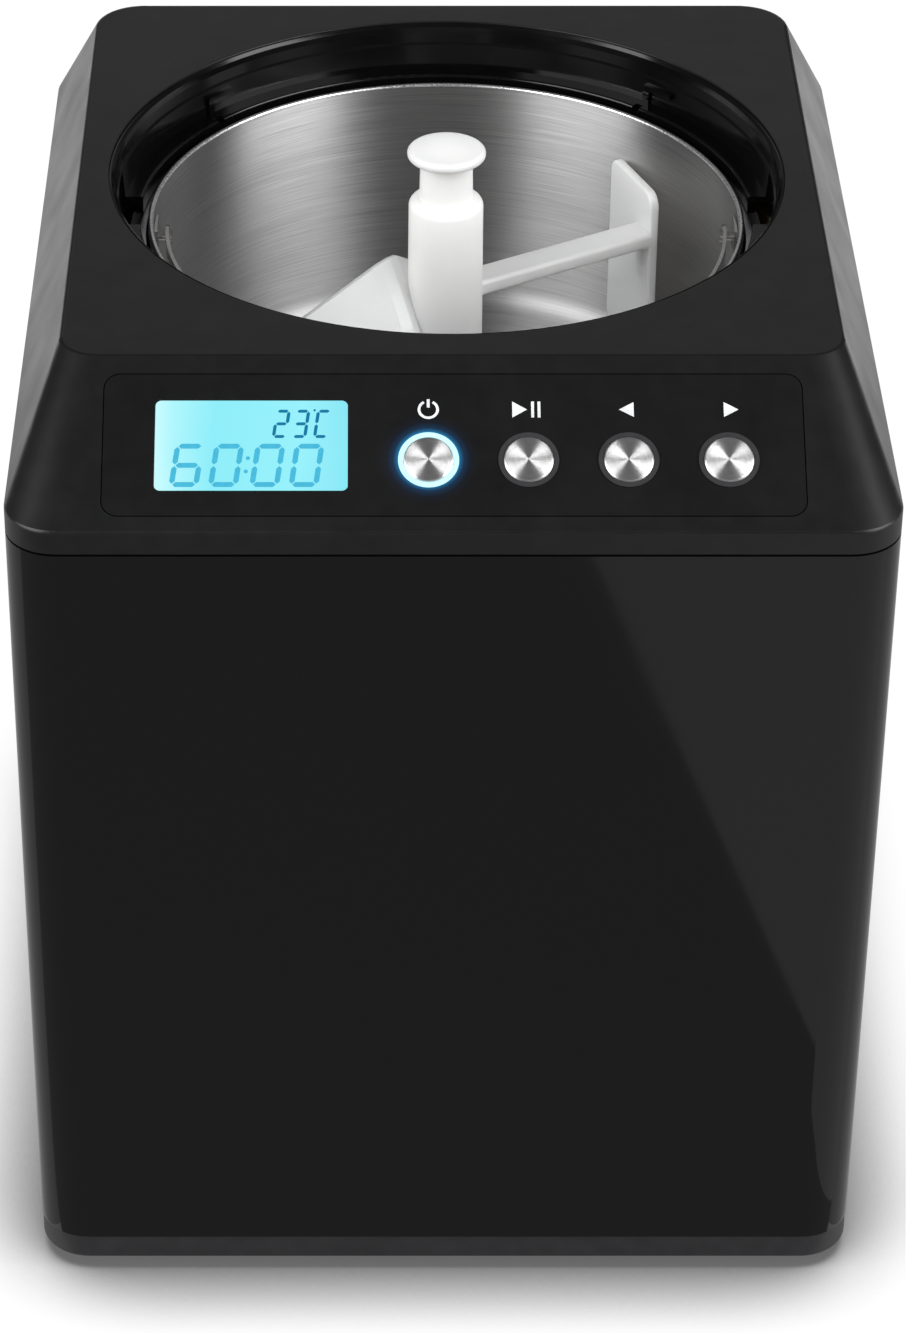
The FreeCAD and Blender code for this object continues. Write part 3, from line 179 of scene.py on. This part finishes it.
def turned_steel(name, roughness, anisotropy, lines=1.0, colour=(0.62, 0.62, 0.62)):
    """Steel brushed round the piece's own Z axis."""
    s = Shader(name, Metallic=1.0, Anisotropic=anisotropy, Anisotropic_Rotation=0.25)
    split = s.node("SeparateXYZ")
    s.link(s.coords(), split.inputs[0])
    x, y, z = split.outputs
    angle = s.maths("ARCTAN2", y, x)
    radius = s.maths("SQRT", s.maths("ADD", s.maths("MULTIPLY", x, x), s.maths("MULTIPLY", y, y)))
    joined = s.node("CombineXYZ")
    s.link(s.maths("MULTIPLY", angle, 3.0), joined.inputs[0])
    s.link(s.maths("MULTIPLY", radius, 3600.0 * lines), joined.inputs[1])
    s.link(s.maths("MULTIPLY", z, 3600.0 * lines), joined.inputs[2])
    brushed = s.noise(1.0, 3.0, joined.outputs[0], 0.6)
    s.to(s.remap(brushed, 0.25, 0.75, roughness - 0.05, roughness + 0.06), "Roughness")
    low = tuple(c * 0.80 for c in colour)
    high = tuple(min(1.0, c * 1.14) for c in colour)
    s.to(s.ramp(brushed, [(0.3, low), (0.7, high)]), "Base Color")
    s.bump(brushed, 0.10, 0.00003)
    tangent = s.node("Tangent", direction_type="RADIAL", axis="Z")
    s.to(tangent.outputs[0], "Tangent")
    return s


def metal(name, colour, roughness, grain_scale=900.0):
    s = Shader(name, Base_Color=colour, Metallic=1.0)
    s.to(s.remap(s.noise(grain_scale, 4.0), 0.3, 0.7, roughness - 0.08, roughness + 0.08), "Roughness")
    low = tuple(c * 0.85 for c in colour)
    s.to(s.ramp(s.noise(70.0, 4.0), [(0.35, low), (0.65, tuple(colour))]), "Base Color")
    s.bump(s.noise(grain_scale, 3.0), 0.08, 0.00004)
    return s


def milky_plastic(name, colour=(0.88, 0.88, 0.87)):
    """White food-safe plastic that lets light through near its surface."""
    s = Shader(
        name, Base_Color=colour, Subsurface_Weight=0.7, Subsurface_Scale=0.012,
        Subsurface_Radius=(1.0, 0.95, 0.9), Specular_IOR_Level=0.45,
    )
    s.to(s.remap(s.noise(120.0, 3.0), 0.3, 0.7, 0.30, 0.40), "Roughness")
    s.bump(s.noise(900.0, 2.0), 0.04, 0.00004)
    return s


def rubber(name, colour=(0.012, 0.012, 0.012)):
    s = Shader(name, Base_Color=colour, Specular_IOR_Level=0.3)
    s.to(s.remap(s.noise(200.0, 4.0), 0.3, 0.7, 0.7, 0.85), "Roughness")
    s.bump(s.noise(1800.0, 3.0), 0.2, 0.0001)
    return s


def foam():
    s = Shader("foam", Base_Color=(0.78, 0.70, 0.48), Roughness=0.9)
    cells = s.node("TexVoronoi", Scale=700.0)
    s.link(s.coords(), cells.inputs["Vector"])
    s.to(s.ramp(s.noise(30.0, 4.0), [(0.3, (0.70, 0.60, 0.38)), (0.7, (0.84, 0.76, 0.55))]), "Base Color")
    s.bump(cells.outputs["Distance"], 0.4, 0.0006)
    return s


def circuit_board():
    s = Shader("circuit_board", Roughness=0.45)
    traces = s.node("TexBrick", Scale=60.0, Mortar_Size=0.02)
    s.link(s.coords(), traces.inputs["Vector"])
    s.to(s.ramp(traces.outputs["Fac"], [(0.4, (0.01, 0.09, 0.035)), (0.6, (0.03, 0.20, 0.08))]), "Base Color")
    s.bump(s.noise(400.0, 3.0), 0.1, 0.0001)
    return s


def display_glass():
    """Backlit display: bright cyan, paler towards its left end where the lamp sits."""
    s = Shader("display_glass", Base_Color=(0.01, 0.03, 0.035), Roughness=0.12, Specular_IOR_Level=0.3)
    lo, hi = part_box("display_window")
    split = s.node("SeparateXYZ")
    s.link(s.coords(), split.inputs[0])
    across = s.remap(split.outputs[0], lo.x, hi.x, 0.0, 1.0)
    cloud = s.maths("MULTIPLY", s.maths("SUBTRACT", s.noise(35.0, 2.0), 0.5), 0.16)
    glow = s.ramp(s.maths("ADD", across, cloud), [
        (0.0, (0.58, 0.93, 0.95)), (0.10, (0.42, 0.88, 0.93)), (0.30, (0.26, 0.81, 0.90)),
        (0.75, (0.30, 0.84, 0.92)), (1.0, (0.24, 0.76, 0.87)),
    ])
    s.to(glow, "Emission Color")
    s.set(Emission_Strength=1.0)
    return s


def lit(name, colour, strength=1.0, roughness=0.4):
    s = Shader(
        name, Base_Color=tuple(c * 0.2 for c in colour), Roughness=roughness, Specular_IOR_Level=0.1,
        Emission_Strength=strength,
    )
    low = tuple(c * 0.9 for c in colour)
    s.to(s.ramp(s.noise(500.0, 2.0), [(0.35, low), (0.65, tuple(colour))]), "Emission Color")
    return s


def fascia_painted_glow():
    """Satin panel plastic with a painted glow from the power ring, emitted close round the ring."""
    s = moulded_plastic("fascia_painted_glow", (0.0045, 0.0046, 0.0050), 0.40, 0.06, 2600.0, 0.22)
    centre = node_centre("power_light_ring")
    away = s.node("VectorMath", operation="DISTANCE")
    s.link(s.coords(), away.inputs[0])
    away.inputs[1].default_value = centre
    # Painted glow: blue emission fading with distance from the power ring stands in for the ring's light on
    # the panel.
    glow = s.ramp(s.remap(away.outputs["Value"], 9.4 * MM, 15.5 * MM, 0.0, 1.0), [
        (0.0, (0.04, 0.45, 0.85)), (0.12, (0.006, 0.15, 0.34)), (0.30, (0.001, 0.03, 0.085)),
        (0.6, (0.0, 0.004, 0.013)), (1.0, (0.0, 0.0, 0.0)),
    ])
    s.to(glow, "Emission Color")
    s.set(Emission_Strength=0.75)
    return s


SPUN_STEEL = (0.40, 0.95, 2.2, (0.93, 0.93, 0.93))

MATERIALS = {
    "dark_plastic": lambda: moulded_plastic("dark_plastic", (0.020, 0.020, 0.022), 0.5, 0.2, 2200.0, 0.4),
    "foot_rubber": lambda: rubber("foot_rubber"),
    "screw_steel": lambda: metal("screw_steel", (0.50, 0.50, 0.52), 0.35),
    "gloss_black": gloss_black,
    "satin_grey": lambda: moulded_plastic("satin_grey", (0.0062, 0.0063, 0.0068), 0.34, 0.08, 2600.0, 0.32),
    "fascia": fascia_painted_glow,
    "display": display_glass,
    "board_parts": lambda: moulded_plastic("board_parts", (0.02, 0.02, 0.02), 0.5),
    "circuit_board": circuit_board,
    "light_ring": lambda: lit("light_ring", (0.55, 0.90, 0.98), 1.05),
    "black_plastic": lambda: moulded_plastic("black_plastic", (0.010, 0.010, 0.011), 0.38),
    "collar_black": lambda: moulded_plastic("collar_black", (0.002, 0.002, 0.0023), 0.12, 0.02, 1500.0, 0.32),
    "seal_rubber": lambda: rubber("seal_rubber", (0.03, 0.03, 0.03)),
    "well_aluminium": lambda: turned_steel("well_aluminium", 0.32, 0.5, 0.6, (0.75, 0.76, 0.77)),
    "copper": lambda: metal("copper", (0.78, 0.40, 0.25), 0.3),
    "foam": foam,
    "bowl_steel": lambda: metal("bright_steel", (0.66, 0.65, 0.63), 0.2, 1400.0),
    "white_plastic": lambda: milky_plastic("milky_plastic"),
    "shaft_steel": lambda: metal("shaft_steel", (0.62, 0.62, 0.62), 0.22),
    "gear_nylon": lambda: milky_plastic("gear_nylon", (0.84, 0.80, 0.70)),
    "gear_brass": lambda: metal("gear_brass", (0.75, 0.55, 0.25), 0.28),
    "motor_can": lambda: metal("motor_can", (0.42, 0.42, 0.43), 0.35),
    "bronze": lambda: metal("bronze", (0.50, 0.34, 0.18), 0.45),
    "plated_sheet": lambda: metal("plated_sheet", (0.58, 0.59, 0.60), 0.4, 260.0),
    "compressor_black": lambda: moulded_plastic("compressor_black", (0.008, 0.008, 0.008), 0.3, 0.25, 600.0),
    "fin_aluminium": lambda: metal("fin_aluminium", (0.74, 0.75, 0.76), 0.35),
    # Bezels are glossier than the black plastic, and their lighter grey colour is painted highlight for the
    # ring of light round each button.
    "glossy_bezel_painted_highlight": lambda: moulded_plastic("glossy_bezel_painted_highlight", (0.030, 0.030, 0.032), 0.22, 0.02, 1500.0, 0.9),
    "button_steel": lambda: turned_steel("button_steel", *SPUN_STEEL),
}


OWN_LOOK = {"button_bezels": "glossy_bezel_painted_highlight"}  # nodes that don't take their slot's look


def dress_frame():
    """Every carried-over CAD node gets its slot's procedural material, or one of its own."""
    made = {}
    for entry in frame["record"]["subparts"]:
        slot = OWN_LOOK.get(entry["node"], entry["material_slot"])
        if slot not in made:
            made[slot] = MATERIALS[slot]().material
        for place in nodes[entry["node"]].material_slots:
            place.material = made[slot]


# ---------------------------------------------------------------- mesh helpers
def add_object(name, mesh, material, body, matrix=None):
    piece = bpy.data.objects.new(name, mesh)
    bpy.context.scene.collection.objects.link(piece)
    if matrix is not None:
        piece.matrix_world = matrix
    mesh.materials.append(material)
    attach(piece, body)
    return piece


def arc(cx, cz, r, start, end, steps=8):
    """Points on an arc, angles in degrees."""
    angles = [math.radians(start + (end - start) * i / steps) for i in range(steps + 1)]
    return [(cx + r * math.cos(a), cz + r * math.sin(a)) for a in angles]


def lathe_mesh(name, profile, segments=192, closed=True):
    """Smooth surface of revolution about Z; profile is a loop of (radius, height) in millimetres."""
    bm = bmesh.new()
    rings = []
    for r, z in profile:
        if r < 1e-6:
            rings.append([bm.verts.new((0, 0, z * MM))])
            continue
        turn = [2 * math.pi * k / segments for k in range(segments)]
        rings.append([bm.verts.new((r * MM * math.cos(a), r * MM * math.sin(a), z * MM)) for a in turn])
    pairs = list(zip(rings, rings[1:]))
    if closed:
        pairs.append((rings[-1], rings[0]))
    for a, b in pairs:
        if len(a) == 1 and len(b) == 1:
            continue
        for k in range(segments):
            n = (k + 1) % segments
            corners = [a[k % len(a)], a[n % len(a)], b[n % len(b)], b[k % len(b)]]
            bm.faces.new(list(dict.fromkeys(corners)))
    bmesh.ops.recalc_face_normals(bm, faces=bm.faces)
    mesh = bpy.data.meshes.new(name)
    bm.to_mesh(mesh)
    bm.free()
    mesh.shade_smooth()
    return mesh


def flat_mesh(name, outlines, thickness, height=0.0):
    """Thin solid letters or signs: each outline is a loop of (x, y) in millimetres."""
    bm = bmesh.new()
    for outline in outlines:
        low = [bm.verts.new((x * MM, y * MM, height * MM)) for x, y in outline]
        high = [bm.verts.new((x * MM, y * MM, (height + thickness) * MM)) for x, y in outline]
        bm.faces.new(high)
        bm.faces.new(list(reversed(low)))
        for i in range(len(outline)):
            j = (i + 1) % len(outline)
            bm.faces.new([low[i], low[j], high[j], high[i]])
    bmesh.ops.recalc_face_normals(bm, faces=bm.faces)
    mesh = bpy.data.meshes.new(name)
    bm.to_mesh(mesh)
    bm.free()
    return mesh


# ---------------------------------------------------------------- bowl
def make_bowl():
    """Lathed bowl with a rolled rim, rounded floor and centre tube."""
    rim = RIM_Z / MM
    floor, fillet, wall = rim - 88.0, 8.0, 1.3
    inner, top_inner = 98.6, 99.6  # inside radius above the floor and at the rim
    tube, bore, tube_top = 8.0, 6.5, floor + 39.5
    roll = 0.9  # radius of the rolled rim
    profile = (
        arc((tube + bore) / 2, tube_top - 0.75, 0.75, 180, 0, 6)
        + arc(tube + 2.0, floor + 2.0, 2.0, 180, 270, 5)
        + [(tube + 3 + (inner - fillet - tube - 3) * i / 6, floor) for i in range(1, 6)]
        + arc(inner - fillet, floor + fillet, fillet, -90, 0, 10)
        + [(inner + (top_inner - inner) * i / 4, floor + fillet + 78.5 * i / 4) for i in range(1, 4)]
        + arc(top_inner + roll, rim - roll, roll, 180, 0, 10)
        + [(101.4, rim - 2.6), (101.0, rim - 3.6), (top_inner + wall, rim - 5)]
        + arc(inner - fillet, floor + fillet, fillet + wall, 0, -90, 8)
        + [(bore, floor - wall)]
    )
    mesh = lathe_mesh("bowl_shell", profile, 256)
    # Painted shade: the bowl's steel colour is darker than plain steel, dimming the inside of the bowl.
    steel = turned_steel("brushed_bowl_painted_shade", 0.42, 0.93, 1.0, (0.42, 0.42, 0.42)).material
    bowl = add_object("brushed_bowl_painted_shade", mesh, steel, "bowl", Matrix.Translation(WELL))
    # The rolled rim is smoother steel, and its colour is painted far brighter than the wall's as a painted
    # highlight along the rim.
    mesh.materials.append(metal("polished_rim_painted_highlight", (0.92, 0.92, 0.92), 0.30, 1400.0).material)
    for face in mesh.polygons:
        if face.center.z > (rim - 2.4) * MM:
            face.material_index = 1
    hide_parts("removable_bowl")


# ---------------------------------------------------------------- control panel
def make_button_cap(name, material):
    """Spun cap with a bevelled edge and a faint dish, its axis square to the slope."""
    middle = slope_place(name + "_button_cap")
    r, top = 7.75, 1.5
    profile = [(0, top - 0.10), (2.5, top - 0.09), (5.0, top - 0.05), (7.15, top)]
    profile += [(7.35, top - 0.04), (7.62, top - 0.30), (r, top - 0.5), (r, -top), (0, -top)]
    mesh = lathe_mesh(name + "_cap", profile, 96, closed=False)
    place = ON_SLOPE @ Matrix.Translation(middle)
    cap = add_object(name + "_cap", mesh, material, name + "_button", place)
    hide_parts(name + "_button_cap")


SEGMENTS = {
    "0": "abcdef", "2": "abged", "3": "abgcd", "6": "afgedc", "C": "afed",
}


def segment_bar(x0, y0, x1, y1, thick):
    """Pointed bar between two points, level or upright."""
    h = thick / 2
    if abs(x1 - x0) > abs(y1 - y0):
        above = [(x0 + h, y0 + h), (x1 - h, y0 + h)]
        below = [(x1 - h, y0 - h), (x0 + h, y0 - h)]
        return [(x0, y0)] + above + [(x1, y0)] + below
    right = [(x0 + h, y0 + h), (x0 + h, y1 - h)]
    left = [(x0 - h, y1 - h), (x0 - h, y0 + h)]
    return [(x0, y0)] + right + [(x0, y1)] + left


def digit(symbol, x, y, wide, tall, thick, slant):
    """Seven-segment digit with its lower left corner at (x, y)."""
    g = thick * 0.16
    h = thick / 2
    left, right = x + h, x + wide - h
    low, mid, high = y + h, y + tall / 2, y + tall - h
    bars = {
        "a": (left + g, high, right - g, high), "g": (left + g, mid, right - g, mid),
        "d": (left + g, low, right - g, low), "f": (left, mid + g, left, high - g),
        "e": (left, low + g, left, mid - g), "b": (right, mid + g, right, high - g),
        "c": (right, low + g, right, mid - g),
    }
    outlines = [segment_bar(*bars[key], thick) for key in SEGMENTS[symbol]]
    return [[(px + (py - y) * slant, py) for px, py in outline] for outline in outlines]


def disc(x, y, r, count=20):
    turn = [2 * math.pi * i / count for i in range(count)]
    return [(x + r * math.cos(a), y + r * math.sin(a)) for a in turn]


def make_display():
    """Two lines of generic figures on the display: a temperature and a countdown."""
    window = slope_place("display_window") / MM
    left, low = window.x - 30.0, window.y - 15.65
    top = window.z + 0.68  # just proud of the glass
    big, small = [], []
    for symbol, x in zip("6000", (4.45, 16.65, 29.45, 41.6)):
        big += digit(symbol, left + x, low + 1.2, 9.3, 15.0, 1.7, 0.13)
    big += [disc(left + 28.4, low + 6.6, 0.65), disc(left + 29.0, low + 11.2, 0.65)]
    for symbol, x in zip("23C", (36.3, 42.4, 49.1)):
        small += digit(symbol, left + x, low + 18.2, 4.7, 9.9, 1.05, 0.13)
    small.append(disc(left + 49.65, low + 27.9, 0.4, 12))
    pieces = (
        ("display_time", big, (0.055, 0.40, 0.58)),
        ("display_temperature", small, (0.004, 0.16, 0.30)),
    )
    for name, outlines, colour in pieces:
        mesh = flat_mesh(name, outlines, 0.03, top)
        add_object(name, mesh, lit(name, colour, 1.0).material, "root", ON_SLOPE)


def ring_sector(x, y, r, thick, start, end, steps=28):
    """Outline of a band along an arc, angles in degrees."""
    return arc(x, y, r + thick / 2, start, end, steps) + arc(x, y, r - thick / 2, end, start, steps)


def rectangle(x0, y0, x1, y1):
    return [(x0, y0), (x1, y0), (x1, y1), (x0, y1)]


def triangle(x, y, wide, tall, towards):
    """Arrow head centred on (x, y), pointing right for 1 and left for -1."""
    h = wide / 2 * towards
    return [(x - h, y - tall / 2), (x + h, y), (x - h, y + tall / 2)]


def make_icons():
    """White signs printed above the buttons: on/off, start and pause, down and up."""
    xs = {n: slope_place(n + "_button_cap").x / MM for n in BUTTONS}
    y = slope_place("power_button_cap").y / MM + 17.6
    signs = {
        "power_sign": [ring_sector(xs["power"], y, 2.9, 0.85, 118, 422),
                       rectangle(xs["power"] - 0.45, y + 0.7, xs["power"] + 0.45, y + 3.6)],
        "start_sign": [triangle(xs["start"] - 2.6, y, 4.6, 5.6, 1),
                       rectangle(xs["start"] + 1.0, y - 2.8, xs["start"] + 1.9, y + 2.8),
                       rectangle(xs["start"] + 3.0, y - 2.8, xs["start"] + 3.9, y + 2.8)],
        "down_sign": [triangle(xs["down"] - 0.4, y, 4.6, 5.2, -1)],
        "up_sign": [triangle(xs["up"] + 1.2, y, 4.6, 5.2, 1)],
    }
    ink = moulded_plastic("white_ink", (0.70, 0.71, 0.72), 0.5, 0.05)
    for name, outlines in signs.items():
        mesh = flat_mesh(name, outlines, 0.03, 0.0)
        add_object(name, mesh, ink.material, "root", ON_SLOPE)


# ---------------------------------------------------------------- studio
def make_floor():
    bpy.ops.mesh.primitive_plane_add(size=12.0, location=(0, 0, 0))
    floor = bpy.context.object
    floor.name = "floor"
    s = Shader("floor_paper", Roughness=0.85, Specular_IOR_Level=0.05)
    # Painted contact shadow: ambient occlusion darkens the floor's colour and glow close round the object.
    openness = s.node("AmbientOcclusion", samples=24, Distance=0.05).outputs["AO"]
    shadow = [(0.45, 0.14), (0.65, 0.45), (0.85, 0.88), (0.97, 1.0)]
    s.to(s.ramp(openness, [(place, 0.12 * value) for place, value in shadow]), "Base Color")
    s.to(s.ramp(openness, shadow), "Emission Color")
    s.set(Emission_Strength=0.92)
    floor.data.materials.append(s.material)


def reflector(name, corners, brightness):
    """Card that only shows as a reflection in the glossy pieces."""
    mesh = bpy.data.meshes.new(name)
    mesh.from_pydata(corners, [], [tuple(range(len(corners)))])
    card = bpy.data.objects.new(name, mesh)
    bpy.context.scene.collection.objects.link(card)
    s = Shader(name, Base_Color=(0, 0, 0), Specular_IOR_Level=0.0, Emission_Color=(1, 1, 1))
    s.set(Emission_Strength=brightness)
    mesh.materials.append(s.material)
    for way in ("camera", "diffuse", "shadow", "transmission", "volume_scatter"):
        setattr(card, "visible_" + way, False)


def make_reflectors():
    """Two dark cards on the floor meet along a slanting edge that shows in the gloss.

    Two lie beside the object, one hangs overhead and one stands behind.
    """
    z, side = 0.003, 0.75
    near, far, back = -0.1635, -1.6, 0.6
    near_edge, far_edge = 0.1623, -0.125  # where the slanting edge starts and ends

    def floor_card(name, x0, x1, x2, x3, y0, y1, brightness):
        reflector(name, [(x0, y0, z), (x1, y0, z), (x2, y1, z), (x3, y1, z)], brightness)

    floor_card("black_card", -side, near_edge, far_edge, -side, near, far, 0.22)
    floor_card("dim_card", near_edge, side, side, far_edge, near, far, 0.52)
    floor_card("left_card", -side, -0.15, -0.15, -side, near, back, 0.45)
    floor_card("right_card", 0.15, side, side, 0.15, near, back, 0.45)
    x, y0, y1, high = 0.8, -1.3, 0.7, 1.7
    reflector("overhead_card", [(-x, y0, high), (x, y0, high), (x, y1, high), (-x, y1, high)], 0.12)
    x, y, z0, z1 = 0.6, 1.5, 0.3, 1.45
    reflector("rear_card", [(-x, y, z0), (x, y, z0), (x, y, z1), (-x, y, z1)], 0.30)


def softbox(name, location, size, size_y, power=52.0, target=(0, 0, 0.3)):
    data = bpy.data.lights.new(name, "AREA")
    data.energy = power
    data.shape = "RECTANGLE"
    data.size = size
    data.size_y = size_y
    lamp = bpy.data.objects.new(name, data)
    lamp.location = location
    lamp.rotation_euler = (Vector(target) - Vector(location)).to_track_quat("-Z", "Y").to_euler()
    bpy.context.scene.collection.objects.link(lamp)


def make_world():
    """Dim fill light that the camera itself sees as a white backdrop."""
    world = bpy.data.worlds.new("studio")
    world.use_nodes = True
    tree = world.node_tree
    background = tree.nodes["Background"]
    background.inputs["Color"].default_value = (1.0, 1.0, 1.0, 1.0)
    strength = tree.nodes.new("ShaderNodeMapRange")
    strength.inputs["To Min"].default_value = 0.10
    strength.inputs["To Max"].default_value = 1.0
    rays = tree.nodes.new("ShaderNodeLightPath")
    tree.links.new(rays.outputs["Is Camera Ray"], strength.inputs["Value"])
    tree.links.new(strength.outputs["Result"], background.inputs["Strength"])
    bpy.context.scene.world = world


def make_camera():
    """Long lens above and in front, looking down at about 34 degrees."""
    wide, tall = 906.0, 1333.0  # the image
    focal, axis_x = 4320.8, 365.4  # focal length and the lens axis's column in that image
    body_w = cover_hi.x - cover_lo.x
    left, out, up = 0.0979 * body_w, 4.0285 * body_w, 3.5842 * body_w + 0.005
    data = bpy.data.cameras.new("camera")
    data.sensor_width = 36.0
    data.lens = data.sensor_width * focal / tall
    data.shift_x = (wide / 2 - axis_x) / tall
    data.clip_end = 50.0
    camera = bpy.data.objects.new("camera", data)
    camera.location = (-left, cover_lo.y - out, up)
    camera.rotation_euler = (math.radians(90.0 - 33.86), 0, 0)
    bpy.context.scene.collection.objects.link(camera)
    bpy.context.scene.camera = camera


# ---------------------------------------------------------------- build
bpy.context.scene.view_settings.view_transform = "Standard"
dress_frame()
make_bowl()
spun = turned_steel("spun_cap", *SPUN_STEEL).material
for button in BUTTONS:
    make_button_cap(button, spun)
make_display()
make_icons()
make_floor()
make_reflectors()
softbox("left_softbox", (-1.50, -0.92, 1.35), 1.7, 1.6)
softbox("right_softbox", (1.60, -0.70, 1.35), 1.6, 1.6)
make_world()
make_camera()
